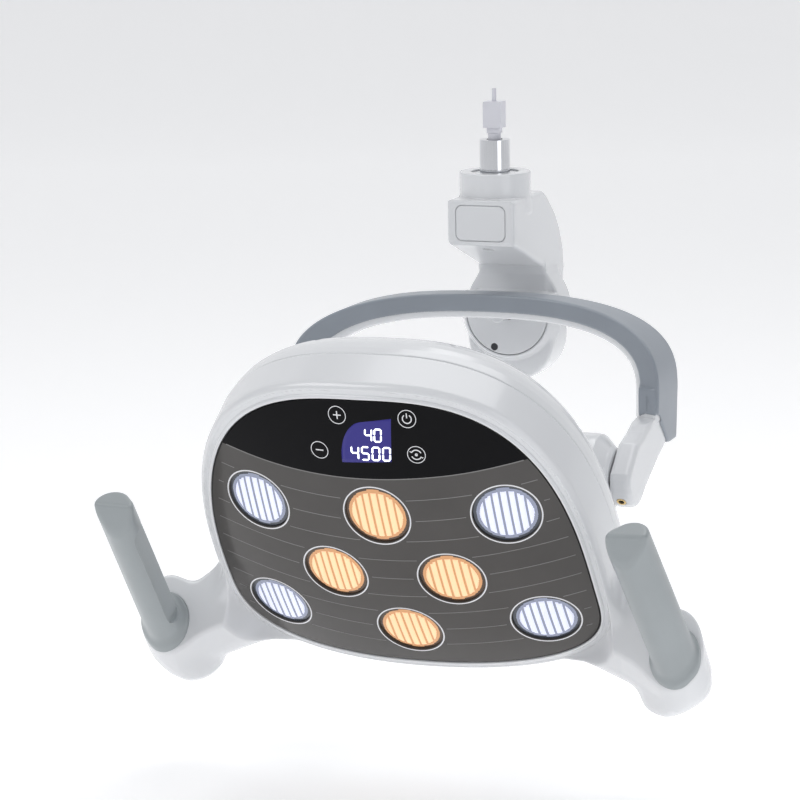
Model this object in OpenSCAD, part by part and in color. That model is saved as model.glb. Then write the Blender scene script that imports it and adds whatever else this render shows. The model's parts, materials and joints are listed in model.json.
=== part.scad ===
// Dental operating light: eight-lamp tilting head in a U-shaped yoke, hung from a swivel bracket
// on a hollow mounting shaft. Origin on the shaft's axis, level with the collar's top. +Z up,
// -Y is the front.

/* [Mounting shaft] */
// Radius of the exposed shaft
shaft_r = 11; // [10.5:0.25:11.5]
// Length of shaft that stands out of the collar
shaft_len = 23; // [20:1:40]
// Radius of the cable bore through the shaft
shaft_bore_r = 6; // [5:0.5:6.5]

/* [Swivel bracket] */
// Outer radius of the collar
collar_r = 24.8; // [24:0.2:26]
// Half width of the bracket's box
box_hw = 25.6; // [25:0.2:27]
// Outer radius of the round hub
hub_r = 37; // [36:1:38]
// Height of the hub's centre below the collar's top
hub_drop = 107; // [106:1:108]

/* [Yoke] */
// Half width across the outside of the arms
yoke_hw = 141.5; // [140:0.5:143]
// Rise of the arch above the level of its widest point
yoke_rise = 62; // [60:1:64]
// Inner face of each yoke end, from the middle plane
joint_x = 123.3; // [123:0.1:124]
// Radius of the round end face at the tilt joint
joint_r = 20; // [19:0.5:21]

/* [Head] */
// Downward tilt of the lamp face at rest
tilt_rest = 33; // [0:1:45]
// Half width of the lens panel
panel_hw = 135.5; // [134:0.5:136]
// Height of the panel above its widest level
panel_top = 168.8; // [167:0.4:170]
// Depth of the panel below its widest level
panel_drop = 65.7; // [65:0.1:67]
// Radius of the convex panel
panel_R = 450; // [445:1:460]
// Radius of each lamp's bezel ring
lamp_r = 23.8; // [22:0.2:24]

/* [Handles] */
// Distance of each handle's foot from the middle plane
handle_x = 192.5; // [192:0.1:193]
// Half thickness of the grip across its oval section
grip_r = 12.75; // [12.5:0.05:13]
// Top of the grip above the panel's centre
grip_top = 72; // [70:1:74]

/* [Hidden] */
$fn = 64;

white = [0.93, 0.94, 0.95];
grip_grey = [0.55, 0.60, 0.61];
overlay_grey = [0.50, 0.54, 0.58];
steel = [0.75, 0.76, 0.78];
fit_gap = 0.05;            // radial clearance of a running fit

// ---- key places, in the part's own frame ----
tilt_y = -98.5;            // tilt axis
tilt_z = -202;
panel_fwd = 130;           // panel centre ahead of the tilt axis, in the head's frame
panel_up = 20;             // panel centre above the tilt axis, in the head's frame
hub_face_y = 21;           // front of the hub cover
hub_back_y = 64;           // back of the hub
chin_r = 33.5;             // lower round of the egg-shaped hub
chin_drop = 19;
yoke_front_R = 278;        // bow of the yoke's front, seen from above
yoke_front_y = -20;
yoke_back_R = 900;
yoke_mid_z = -150;         // level where the yoke is widest
yoke_n = 2.78;             // squareness of the arch
arch_t = 18;               // thickness of the arch at its top
arm_t = 20;                // thickness of the arms
lip_t = 5;                 // white lip inside the overlay
end_t = 15.5;              // thickness of the yoke's end blocks
pin_r = 8;
bush_t = 3;
seam_y = 60;               // where front and rear shells meet
wall = 3;
rim = 10;                  // width of the shell around the panel
glass_t = 3;
head_zc = -25;             // level where the head is widest
cup_r = 21;                // rounded end of each wing
cup_x = 178.5;             // centre of the rounded end: across, back and up
cup_back = 9.3;
cup_z = -97.5;
rim_r = 19.5;              // cup at its rim
rim_at = [188.8, 12.7];    // rim's centre: across and back
rim_slope = 38.7;          // tilt of the rim, rising to the back
foot_r = 15.6;             // foot of each grip, in its socket
cup_y = 7.1;               // foot of the handle's axis
foot_shift = [-1.8, 2.6];  // foot's centre from the handle's axis
oval = 3.05;               // half the length added to the grip's oval section
cup_floor = -93;
handle_lean = 7.95;        // forward lean of the grips
handle_toe = 2.46;         // inward lean of the grips
board_y = 50;              // front of the LED boards
sink_y = 51.8;             // front of the heat sink plate
hub_z = -hub_drop;
roll_z = hub_z + 3;        // roll axis, hidden behind the arch
drum_top = -93;            // flat top of the hub's front, 1 mm over the roll bush

// Lamp centres: [x, z, cool white]
lamps = [[-90.7, 55.1, 1], [0, 55.6, 0], [90.7, 55.1, 1], [-42.8, 0, 0], [42.8, 0, 0],
         [-98.9, -45.2, 1], [0, -54.6, 0], [98.9, -45.2, 1]];
// Touch pads: [x, z]
pads = [[-16.5, 132], [-33.4, 105.7], [33.4, 132], [36.6, 105.7]];

// ---- helpers ----
function sgn_pow(v, p) = sign(v) * pow(abs(v), p);
// Rounded outline of the head, grown by g
function head_outline(g, count = 72) = [
    for (i = [0:count - 1])
        let (t = (i + 0.5) * 360 / count, up = sin(t) > 0, n = up ? 2.7 : 3.5)
        [(panel_hw + g) * sgn_pow(cos(t), 2 / n),
         head_zc + ((up ? panel_top : panel_drop) + g) * sgn_pow(sin(t), 2 / n)]
];
// Half arch of the yoke, from -X over the top to +X
function arch(hw, rise, count = 48) = [
    for (i = [0:count])
        let (t = 180 - i * 180 / count)
        [hw * sgn_pow(cos(t), 2 / yoke_n), yoke_mid_z + rise * sgn_pow(sin(t), 2 / yoke_n)]
];
// Depth of the convex panel's face at radius r from its centre
function sag(r) = panel_R - sqrt(panel_R * panel_R - r * r);

module along_y(y0, y1) {
    translate([0, y1, 0]) rotate([90, 0, 0]) linear_extrude(y1 - y0) children();
}
module along_x(x0, x1) {
    translate([x0, 0, 0]) rotate([90, 0, 90]) linear_extrude(x1 - x0) children();
}
module rod_y(x, z, y0, y1, r) {
    translate([x, y1, z]) rotate([90, 0, 0]) cylinder(r = r, h = y1 - y0);
}
module rod_x(y, z, x0, x1, r, r2 = -1) {
    translate([x0, y, z]) rotate([0, 90, 0]) cylinder(r1 = r, r2 = r2 < 0 ? r : r2, h = x1 - x0);
}
module rod_z(x, y, z0, z1, r) {
    translate([x, y, z0]) cylinder(r = r, h = z1 - z0);
}
module tube_z(z0, z1, r_out, r_in) {
    translate([0, 0, z0]) difference() {
        cylinder(r = r_out, h = z1 - z0);
        translate([0, 0, -1]) cylinder(r = r_in, h = z1 - z0 + 2);
    }
}
module both_sides() {
    children();
    mirror([1, 0, 0]) children();
}
// Places children given in the head's frame (origin at the panel's centre)
module in_head() {
    translate([0, tilt_y, tilt_z]) rotate([tilt_rest, 0, 0])
        translate([0, -panel_fwd, panel_up]) children();
}
module panel_ball(r) {
    translate([0, panel_R, 0]) rotate([90, 0, 0]) sphere(r = r, $fn = 96);
}
// Round tube of radius r through a list of points
module lead(points, r) {
    count = len(points);
    sides = 8;
    function unit(v) = v / norm(v);
    function heading(i) = unit(points[min(i + 1, count - 1)] - points[max(i - 1, 0)]);
    function side_way(i) = unit(cross(heading(i), [0.31, 0.17, 0.93]));
    rings = [
        for (i = [0:count - 1])
            let (a = side_way(i), b = cross(heading(i), a))
            for (k = [0:sides - 1]) points[i] + r * (cos(k * 360 / sides) * a + sin(k * 360 / sides) * b)
    ];
    walls = [
        for (i = [0:count - 2]) for (k = [0:sides - 1])
            let (p = i * sides + k, q = i * sides + (k + 1) % sides)
            [q, p, p + sides, q + sides]
    ];
    caps = [[for (k = [0:sides - 1]) k],
            [for (k = [sides - 1:-1:0]) (count - 1) * sides + k]];
    polyhedron(points = rings, faces = concat(walls, caps), convexity = 4);
}

// ---- mounting shaft body ----
journal_r = 10;
journal_end = -47;
clip_z = -44.3;            // bottom of the circlip
key_z = -46.8;             // bottom of the stop key
key_reach = 17;
module mounting_shaft() {
    color(steel) difference() {
        union() {
            rod_z(0, 0, -1, shaft_len, shaft_r);
            rod_z(0, 0, -4, -1, 16.8);
            rod_z(0, 0, journal_end, -3.9, journal_r);
        }
        rod_z(0, 0, journal_end - 1, shaft_len + 1, shaft_bore_r);
        tube_z(clip_z - 0.1, clip_z + 1.3, journal_r + 1, 9);
        translate([-2.05, -journal_r - 1, key_z - 0.05]) cube([4.1, 3, 1.8]);
    }
}
module shaft_circlip() {
    color("dimgray") difference() {
        tube_z(clip_z, clip_z + 1.2, 12.5, 9.05);
        translate([-2, -14, clip_z - 1]) cube([4, 14, 3]);
    }
}
module thrust_washer() {
    color("goldenrod") tube_z(-43, -41.6, 12.8, journal_r + 0.1);
}
module stop_key() {
    color(steel) translate([-2, -key_reach, key_z]) cube([4, key_reach - 8.1, 1.7]);
}
module supply_connector() {
    color("whitesmoke") {
        translate([-4.6, -4, 27.6]) cube([9.2, 8, 4]);
        translate([-6.9, -5.5, 31.5]) cube([13.8, 11, 19]);
        rod_z(0, 0, 50.4, 60, 1.7);
    }
}
module connector_sleeve() {
    color("white") difference() {
        rod_z(0, 0, 2, 27.5, 4.7);
        rod_z(0, 0, 1, 24, 3.1);
    }
}
module shaft_cable() {
    color("dimgray") rod_z(0, 0, -46, 23.8, 3);
}

// ---- bracket body ----
box_front = -33;
box_top = -18;
box_bottom = -50;
neck_front = 36;
// Side view of the bracket's casting
bracket_side = [
    [box_front, box_top], [34, box_top], [42, -24], [60, -37], [71, -52], [75, -66], [72, -76],
    [64, -80], [64, -98], [neck_front, -98], [neck_front, -77], [box_front, box_bottom]
];
bracket_cavity = [
    [-20, -24], [32, -24], [40, -29], [55, -40], [66, -55], [69, -66], [66, -73],
    [neck_front + 4, -73], [-20, -50]
];
// Outline of two circles, the lower one dropped by d, joined by their tangents
function egg(r1, r2, d) =
    let (lean = asin((r1 - r2) / d))
    concat([for (i = [0:36]) let (a = -lean + i * (180 + 2 * lean) / 36) r1 * [cos(a), sin(a)]],
           [for (i = [0:24]) let (a = 180 + lean + i * (180 - 2 * lean) / 24)
               [r2 * cos(a), r2 * sin(a) - d]]);
module round_slab(w, h, r) {
    square([w - 2 * r, h], center = true);
    square([w, h - 2 * r], center = true);
    for (i = [-1, 1]) for (k = [-1, 1]) translate([i * (w / 2 - r), k * (h / 2 - r)]) circle(r);
}
boss_r = 21;               // inner boss around the lower bush
boss_z = -40;
bush_r = 13.98;
bush_screw_y = -17.2;
stop_pin_y = 16.5;
hub_bush_r = 10;
plate_z = -34.5;
cap_screws = [for (a = [45:90:315]) [24 * cos(a), 24 * sin(a)]];
cover_screw = [-10, -26];
module bracket_housing() {
    color(white) difference() {
        union() {
            rod_z(0, 0, box_top - 1, 0, collar_r);
            along_x(-box_hw, box_hw) polygon(bracket_side);
            difference() {
                union() {
                    along_y(27, hub_back_y) translate([0, hub_z]) polygon(egg(hub_r, chin_r, chin_drop));
                    translate([0, 29, hub_z]) rotate([90, 0, 0]) cylinder(r1 = hub_r - 0.5, r2 = 33, h = 8);
                }
                translate([-60, 0, drum_top]) cube([120, neck_front, 60]);
            }
        }
        rod_z(0, 0, -4.5, 1, 17.2);
        rod_z(0, 0, -49, 1, bush_r + 0.02);
        difference() {
            along_x(-box_hw + wall, box_hw - wall) polygon(bracket_cavity);
            rod_z(0, 0, boss_z, -23, boss_r);
        }
        // seat of the recessed front plate
        along_y(box_front - 1, box_front + 1.2) translate([0, plate_z]) round_slab(38, 26, 5);
        // screw of the lower bush, its access hole in the slanted underside, and the stop pin
        rod_z(0, bush_screw_y, -45, -32, 1.62);
        rod_z(0, bush_screw_y, -64, -47, 4);
        rod_z(0, stop_pin_y, -45, -36, 1.52);
        // hub bore, seat of the hub cover and its screw
        rod_y(0, roll_z, 23, 50, hub_bush_r + 0.02);
        rod_y(0, hub_z, 20, 24.2, 31.9);
        rod_y(cover_screw[0], hub_z + cover_screw[1], 24, 33, 1.62);
        // rear pocket with the posts of its cap
        difference() {
            rod_y(0, hub_z, 45, 90, 30);
            for (p = cap_screws) rod_y(p[0], hub_z + p[1], 44, 57.95, 4);
        }
        for (p = cap_screws) rod_y(p[0], hub_z + p[1], 46.5, 60, 1.62);
        // cable way from the box into the rear pocket
        rod_z(0, 52, -81, -70, 5);
    }
}
module front_plate() {
    color(white) along_y(box_front + 0.05, box_front + 1.15) translate([0, plate_z]) round_slab(37.4, 25.4, 4.7);
}
module shaft_bush(z0, z1) {
    tube_z(z0, z1, bush_r, journal_r + fit_gap);
}
module upper_bush() {
    color("goldenrod") shaft_bush(-18, -4.3);
}
module lower_bush() {
    color("goldenrod") difference() {
        union() {
            shaft_bush(-41.2, -27);
            tube_z(-41.3, boss_z - 0.03, 16.5, journal_r + fit_gap);
        }
        rod_z(0, bush_screw_y, -42, -39, 1.7);
        rod_z(0, stop_pin_y, -42, -39, 1.7);
    }
}
module bush_screw() {
    color("dimgray") difference() {
        union() {
            rod_z(0, bush_screw_y, -43.6, -41.35, 2.6);
            rod_z(0, bush_screw_y, -41.4, -32.5, 1.6);
        }
        rod_z(0, bush_screw_y, -44, -42.4, 1.3, $fn = 6);
    }
}
module hub_cover() {
    color(white) difference() {
        rod_y(0, hub_z, hub_face_y, 24.1, 31.6);
        rod_y(0, roll_z, hub_face_y - 1, 25, spigot_r + 0.6);
        translate([-40, hub_face_y - 1, drum_top]) cube([80, 10, 40]);
        rod_y(cover_screw[0], hub_z + cover_screw[1], hub_face_y - 1, 25, 1.7);
        rod_y(cover_screw[0], hub_z + cover_screw[1], hub_face_y - 1, 22.4, 2.8);
    }
}
module hub_cover_screw() {
    color("dimgray") {
        rod_y(cover_screw[0], hub_z + cover_screw[1], 21.2, 22.35, 2.6);
        rod_y(cover_screw[0], hub_z + cover_screw[1], 22.3, 32.5, 1.6);
    }
}
spigot_r = 8;
spigot_tip_r = 5.38;       // thinner end, held in the yoke
spigot_bore_r = 3;
module hub_bush() {
    color("goldenrod") difference() {
        rod_y(0, roll_z, 24.3, 44.9, hub_bush_r);
        rod_y(0, roll_z, 23, 46, spigot_r + fit_gap);
    }
}
module rear_cap() {
    color(white) difference() {
        union() {
            rod_y(0, hub_z, 58, 64, 29.7);
            rod_y(0, hub_z, 63.9, 66, 27);
        }
        for (p = cap_screws) rod_y(p[0], hub_z + p[1], 57, 70, 1.7);
        for (p = cap_screws) rod_y(p[0], hub_z + p[1], 63, 70, 3.2);
    }
}
module rear_cap_screws() {
    color("dimgray") for (p = cap_screws) {
        rod_y(p[0], hub_z + p[1], 63.05, 65.2, 2.9);
        rod_y(p[0], hub_z + p[1], 47, 63.1, 1.6);
    }
}
module stop_pin() {
    color(steel) rod_z(0, stop_pin_y, -47.5, -36.1, 1.5);
}
module bracket_cable() {
    color("dimgray") lead([[0, 0, -50], [0, 2, -52.8], [0, 9, -55.4], [0, 20, -58], [0, 32, -61],
        [0, 42, -65], [0, 49, -69.5], [0, 52, -75], [0, 52, -79]], 2.6);
}

// ---- yoke body ----
module yoke_depth(front_more = 0) {
    difference() {
        translate([0, -yoke_back_R, 0]) cylinder(r = yoke_back_R, h = 400, center = true, $fn = 180);
        translate([0, yoke_front_y - yoke_front_R + front_more, 0])
            cylinder(r = yoke_front_R, h = 500, center = true, $fn = 180);
    }
}
module arch_band(hw, rise, hw_in, rise_in, foot) {
    along_y(-120, 20) polygon(concat(
        [[-hw + 3, foot]], arch(hw, rise), [[hw - 3, foot], [hw_in - 2, foot]],
        [for (p = arch(hw_in, rise_in)) [-p[0], p[1]]], [[-hw_in + 2, foot]]));
}
leg_side = [
    [-56, -150], [-13, -150], [-15, -172], [-24, -184], [-50, -196], [-78, -212],
    for (a = [-50:-20:-90]) [tilt_y + joint_r * cos(a), tilt_z + joint_r * sin(a)],
    for (a = [-110:-20:-210]) [tilt_y + joint_r * cos(a), tilt_z + joint_r * sin(a)],
    [-98, -176], [-70, -168], [-58, -160]
];
yoke_in_hw = yoke_hw - arm_t - 2;
insert_r = 3.3;
// Places children at a clamp screw, with z = 0 on the end block's round face, pointing inwards
module on_clamp() {
    translate([joint_x + end_t / 2, tilt_y, tilt_z]) rotate([-45, 0, 0])
        translate([0, 0, -joint_r]) children();
}
module yoke_frame() {
    color(white) difference() {
        union() {
            intersection() {
                arch_band(yoke_hw - 1.6, yoke_rise - 1.6, yoke_in_hw, yoke_rise - arch_t, -156);
                yoke_depth(1.6);
            }
            both_sides() along_x(joint_x, joint_x + end_t) polygon(leg_side);
            rod_y(0, roll_z, -2, 14, 7.4);
            translate([-12, -2, roll_z - 1.5]) cube([24, 16, 11.5]);
        }
        // seat of the hollow roll spigot, its cable way and the clamped tilt pins
        rod_y(0, roll_z, -1.5, 15, spigot_tip_r + 0.02);
        both_sides() rod_x(tilt_y, tilt_z, joint_x - 1, joint_x + 12, pin_r);
        both_sides() rod_x(tilt_y, tilt_z, joint_x + 11, joint_x + 14, 3.6);
        both_sides() on_clamp() translate([0, 0, -1]) cylinder(r = insert_r + 0.02, h = 14);
    }
}
module yoke_overlay() {
    color(overlay_grey) difference() {
        intersection() {
            arch_band(yoke_hw, yoke_rise, yoke_in_hw + lip_t, yoke_rise - arch_t + lip_t, -164);
            yoke_depth(0);
        }
        intersection() {
            arch_band(yoke_hw - 1.55, yoke_rise - 1.55, yoke_in_hw - 1, yoke_rise - arch_t - 1, -170);
            yoke_depth(1.55);
            translate([0, 30, 0]) cube([400, 400, 500], center = true);
        }
        both_sides() along_x(joint_x - 1, joint_x + end_t + 0.1) polygon(leg_side);
    }
}
module roll_spigot() {
    color(steel) difference() {
        union() {
            rod_y(0, roll_z, -1.4, 15, spigot_tip_r);
            rod_y(0, roll_z, 14.1, 54, spigot_r);
        }
        rod_y(0, roll_z, -3, 56, spigot_bore_r);
    }
}
module roll_spring_washer() {
    color("gray") difference() {
        rod_y(0, roll_z, 45.3, 47.3, 13.5);
        rod_y(0, roll_z, 44, 49, spigot_r + 0.1);
    }
}
module roll_nut() {
    color(steel) difference() {
        rod_y(0, roll_z, 47.4, 53.5, 14, $fn = 6);
        rod_y(0, roll_z, 47, 55, spigot_r + 0.02);
    }
}
module tilt_pins() {
    color(steel) both_sides() difference() {
        rod_x(tilt_y, tilt_z, 88, joint_x + 11.9, pin_r);
        rod_x(tilt_y, tilt_z, 87, joint_x + 13, 3.5);
    }
}
module tilt_clamp_screws() {
    color("dimgray") both_sides() on_clamp() difference() {
        translate([0, 0, 0.9]) cylinder(r = 2.1, h = 10.9);
        cylinder(r = 1.2, h = 4, $fn = 6);
    }
}
module clamp_inserts() {
    color("goldenrod") both_sides() on_clamp() difference() {
        translate([0, 0, 0.15]) cylinder(r = insert_r, h = 9);
        translate([0, 0, -1]) cylinder(r = 2.12, h = 12);
    }
}
module yoke_cable() {
    color("dimgray") {
        rod_y(0, roll_z, 1, 53, 2.6);
        rod_x(tilt_y, tilt_z, -joint_x - 11.5, -89, 2.6);
    }
}

// ---- head body ----
module outline_block(g, y0, y1) {
    along_y(y0, y1) polygon(head_outline(g));
}
// Point of the head's outline, grown by g, at angle t
function on_outline(g, t) = [
    (panel_hw + g) * sgn_pow(cos(t), 2 / (t < 180 ? 2.7 : 3.5)),
    head_zc + ((t < 180 ? panel_top : panel_drop) + g) * sgn_pow(sin(t), 2 / (t < 180 ? 2.7 : 3.5))
];
seam_bosses = [for (t = [28, 75, 105, 152, 207, 333]) on_outline(-1, t)];
sink_bosses = [for (t = [12, 50, 130, 168, 232, 308]) on_outline(-8, t)];
board_posts = [[-50, 92], [50, 92], [-50, 126], [50, 126]];
frame_y = 42;              // front of the lamp frame, on the shoulders of the sink bosses
module near_wing_root() {
    translate([118, 12, -93]) cube([6, 38, 70]);
}
module wing() {
    hull() {
        translate([cup_x, cup_back, cup_z]) sphere(r = cup_r, $fn = 32);
        rod_z(rim_at[0], rim_at[1], -90, -50, rim_r, $fn = 32);
        rod_z(cup_x - 4, cup_back + 5, cup_z, -60, 15, $fn = 32);
        near_wing_root();
    }
}
// Everything above the slanted rim of the cup
module above_rim() {
    translate([handle_x, -6, -74]) rotate([rim_slope, 0, 0]) translate([-26, -60, 0]) cube([80, 160, 90]);
}
module foot_socket(r, z0, z1) {
    in_handle() rod_z(foot_shift[0], foot_shift[1], z0, z1, r);
}
module front_shell() {
    color(white) difference() {
        union() {
            difference() {
                intersection() {
                    difference() {
                        outline_block(rim, 0, seam_y);
                        intersection() {
                            outline_block(rim - wall, 0, seam_y + 1);
                            panel_ball(panel_R - glass_t - 4);
                        }
                    }
                    panel_ball(panel_R + 2);
                }
                // opening, and the seat of the panel and its gasket
                outline_block(-6, -5, seam_y + 1);
                difference() {
                    outline_block(0.6, -5, seam_y);
                    panel_ball(panel_R - glass_t - 1);
                }
            }
            intersection() {
                union() {
                    for (p = seam_bosses) rod_y(p[0], p[1], 8, seam_y, 5.5);
                    for (p = sink_bosses) rod_y(p[0], p[1], 0, frame_y - 0.1, 4.5);
                    for (p = sink_bosses) rod_y(p[0], p[1], 30, sink_y - 0.1, 3.3);
                }
                panel_ball(panel_R - glass_t - 2);
                outline_block(rim - 1, 0, seam_y);
            }
            both_sides() difference() {
                wing();
                above_rim();
                along_y(-50, 100) polygon(head_outline(rim - 1));
                foot_socket(foot_r + 0.1, 0, 90);
                in_handle() oval_rod(grip_r + 0.2, 9.8, 90);
            }
        }
        for (p = seam_bosses) rod_y(p[0], p[1], 45.5, seam_y + 1, 1.5);
        for (p = sink_bosses) rod_y(p[0], p[1], 39, seam_y, 1.3);
        both_sides() foot_socket(2.4, -40, 1);
        both_sides() foot_socket(4.5, -50, -11);
    }
}
// Rear cover: the seam outline drawn in towards the back, with a belly over the tilt axis
module rear_form(inset) {
    hull() {
        outline_block(rim - 0.8 - inset, seam_y + 0.3 - (inset > 0 ? 1 : 0), seam_y + 2);
        outline_block(rim - 5 - inset, 80, 81);
        outline_block(rim - 20 - inset, 97, 98);
        outline_block(rim - 48 - inset, 110 - inset, 111 - inset);
        rod_x(panel_fwd - 6, -panel_up, -70 + inset, 70 - inset, 24 - inset, $fn = 32);
    }
}
ear_end = joint_x - 0.6;
module rear_shell() {
    color(white) difference() {
        union() {
            difference() {
                union() {
                    rear_form(0);
                    both_sides() rod_x(panel_fwd, -panel_up, 60, 112, 31);
                    both_sides() rod_x(panel_fwd, -panel_up, 112, ear_end, 31, 21);
                }
                rear_form(wall);
                both_sides() rod_x(panel_fwd, -panel_up, 40, 100, 27);
                // keep the ear drums inside the rear cover only
                outline_block(rim + 60, 40, seam_y + 0.3);
            }
            intersection() {
                for (p = seam_bosses) rod_y(p[0], p[1], seam_y + 0.3, 95, 5.5);
                rear_form(0.5);
            }
        }
        outline_block(rim + 60, 40, seam_y + 0.3);
        both_sides() rod_x(panel_fwd, -panel_up, 99, ear_end + 1, pin_r + bush_t);
        for (p = seam_bosses) rod_y(p[0], p[1], 55, 100, 1.7);
        for (p = seam_bosses) rod_y(p[0], p[1], 66, 110, 3.4);
    }
}
module lens_panel() {
    color([0.25, 0.25, 0.26]) intersection() {
        outline_block(0, -1, 40);
        difference() {
            panel_ball(panel_R);
            panel_ball(panel_R - glass_t);
        }
    }
}
module panel_gasket() {
    color([0.05, 0.05, 0.05]) intersection() {
        difference() {
            outline_block(0.3, 0, 45);
            outline_block(-5.5, -1, 46);
        }
        difference() {
            panel_ball(panel_R - glass_t - 0.05);
            panel_ball(panel_R - glass_t - 0.95);
        }
    }
}
function cup_front(p) = sag(norm([p[0], p[1]]) + lamp_r - 2) + glass_t + 0.5;
module lamp_frame() {
    color([0.12, 0.12, 0.12]) difference() {
        union() {
            outline_block(-4.5, frame_y, frame_y + 2);
            for (p = board_posts) rod_y(p[0], p[1], 33.7, frame_y + 0.1, 3);
        }
        for (p = lamps) rod_y(p[0], p[1], 40, 46, lamp_r - 1.8);
        for (p = sink_bosses) rod_y(p[0], p[1], 40, 46, 3.5);
        for (p = seam_bosses) rod_y(p[0], p[1], 40, 46, 6);
    }
}
module lamp_reflectors() {
    color(steel) for (p = lamps) difference() {
        rod_y(p[0], p[1], cup_front(p), board_y - 0.1, lamp_r - 2);
        rod_y(p[0], p[1], cup_front(p) - 1, cup_front(p) + 4, lamp_r - 3.2);
        translate([p[0], cup_front(p) + 3.9, p[1]]) rotate([-90, 0, 0])
            cylinder(r1 = lamp_r - 3.8, r2 = 9, h = board_y - cup_front(p) - 3);
    }
}
module fluted_lens(p) {
    y0 = cup_front(p) + 1.8;
    rod_y(p[0], p[1], y0, y0 + 2, lamp_r - 3.3);
    intersection() {
        rod_y(p[0], p[1], y0 - 1, y0 + 0.5, lamp_r - 3.4);
        for (i = [-3:3]) rod_z(p[0] + i * 5.2, y0 + 0.6, p[1] - 22, p[1] + 22, 1.9, $fn = 24);
    }
}
module cool_lenses() {
    color([0.85, 0.88, 1]) for (p = lamps) if (p[2] == 1) fluted_lens(p);
}
module warm_lenses() {
    color([1, 0.8, 0.5]) for (p = lamps) if (p[2] == 0) fluted_lens(p);
}
module led_board(p) {
    rod_y(p[0], p[1], board_y, board_y + 1.6, 10.5);
    translate([p[0] - 3.5, board_y - 1.3, p[1] - 3.5]) cube([7, 1.4, 7]);
}
module cool_led_boards() {
    color([0.9, 0.92, 1]) for (p = lamps) if (p[2] == 1) led_board(p);
}
module warm_led_boards() {
    color([1, 0.85, 0.3]) for (p = lamps) if (p[2] == 0) led_board(p);
}
module heat_sink() {
    color([0.7, 0.71, 0.73]) difference() {
        union() {
            outline_block(-3.5, sink_y, 55);
            for (i = [-9:9]) translate([i * 9 - 0.8, 54.9, -70]) cube([1.6, 20, 124]);
        }
        for (p = sink_bosses) rod_y(p[0], p[1], 50, 80, 1.8);
        for (p = sink_bosses) rod_y(p[0], p[1], 55.05, 80, 5);
        for (p = seam_bosses) rod_y(p[0], p[1], 50, 80, 6.2);
        for (p = frame_feet) rod_y(p[0], p[1], 50, 80, 1.62);
        for (p = frame_feet) rod_y(p[0], p[1], 55.05, 80, 5);
        for (p = spacer_feet) rod_y(p[0], p[1], 55.05, 80, 5);
    }
}
module heat_sink_screws() {
    color("dimgray") for (p = sink_bosses) {
        rod_y(p[0], p[1], 40, 55.2, 1.25);
        rod_y(p[0], p[1], 55.1, 57.4, 3);
    }
}
module control_board() {
    color("darkgreen") translate([-56, 32, 86]) cube([112, 1.6, 46]);
}
module display_module() {
    color([0.15, 0.12, 0.4]) translate([-20, 24.5, 97]) cube([42, 7.4, 29]);
}
module touch_springs() {
    color(steel) for (p = pads)
        rod_y(p[0], min(p[1], 129), sag(norm([p[0], p[1]])) + glass_t + 1.4, 31.9, 2.2);
}
module sensor_module() {
    color([0.1, 0.1, 0.1]) rod_y(50, 96, sag(109) + glass_t + 2, 31.9, 4);
}
spacer_feet = [[-45, 4], [45, 4], [-45, 46], [45, 46]];
module driver_board() {
    color("darkgreen") difference() {
        union() {
            translate([-52, 80, -3]) cube([104, 1.6, 56]);
            translate([-30, 81.5, 8]) cube([26, 9, 20]);
            translate([8, 81.5, 10]) cube([16, 11, 16]);
        }
        for (p = spacer_feet) rod_y(p[0], p[1], 79, 95, 1.7);
    }
}
module driver_spacers() {
    color("gold") for (p = spacer_feet) difference() {
        rod_y(p[0], p[1], 55.1, 79.9, 3);
        rod_y(p[0], p[1], 70, 81, 1.5);
    }
}
frame_feet = [[-82, -52], [82, -52], [-82, 12], [82, 12]];
module tilt_frame() {
    color("slategray") difference() {
        union() {
            translate([-92, 94, -58]) cube([184, 3, 80]);
            both_sides() translate([89, 94, -panel_up - 16]) cube([3, 36, 32]);
            both_sides() rod_x(panel_fwd, -panel_up, 89, 92, 20);
            for (p = frame_feet) rod_y(p[0], p[1], 55.1, 95, 4.5);
        }
        both_sides() rod_x(panel_fwd, -panel_up, 80, 93, pin_r + bush_t + 0.02);
        for (p = frame_feet) rod_y(p[0], p[1], 50, 99, 1.7);
        rod_y(-59, 11, 93, 98, 5);
        translate([-60, 90, -48]) cube([120, 10, 30]);
    }
}
module tilt_frame_screws() {
    color("dimgray") for (p = frame_feet) {
        rod_y(p[0], p[1], 52.2, 97.2, 1.6);
        rod_y(p[0], p[1], 97.1, 99.5, 3);
    }
}
module tilt_bushes() {
    color("goldenrod") both_sides() difference() {
        rod_x(panel_fwd, -panel_up, 88.5, ear_end - 1, pin_r + bush_t - 0.02);
        rod_x(panel_fwd, -panel_up, 80, ear_end, pin_r + fit_gap);
    }
}
module shell_screws() {
    color("dimgray") for (p = seam_bosses) {
        rod_y(p[0], p[1], 46, 66.1, 1.45);
        rod_y(p[0], p[1], 66.05, 68.5, 3);
    }
}
// Places children on the right handle's axis, with z = 0 at the floor of its socket
module in_handle() {
    translate([handle_x, cup_y, cup_floor]) rotate([handle_lean, -handle_toe, 0]) children();
}
module oval_rod(r, z0, z1) {
    rotate([0, 0, 45]) {
        rod_z(-oval, 0, z0, z1, r);
        rod_z(oval, 0, z0, z1, r);
        translate([-oval, -r, z0]) cube([2 * oval, 2 * r, z1 - z0]);
    }
}
module grip() {
    top = grip_top - cup_floor;
    difference() {
        union() {
            rod_z(foot_shift[0], foot_shift[1], 0.1, 36, foot_r);
            oval_rod(grip_r, 10, top);
        }
        // chamfer of the inner side at the top
        translate([-grip_r, 0, top - 14]) rotate([0, 20, 0]) translate([-40, -30, -10]) cube([40, 60, 60]);
        rod_z(foot_shift[0], foot_shift[1], -1, 130, 6.05);
    }
}
module handle_right() {
    color(grip_grey) in_handle() grip();
}
module handle_left() {
    color(grip_grey) mirror([1, 0, 0]) in_handle() grip();
}
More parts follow.
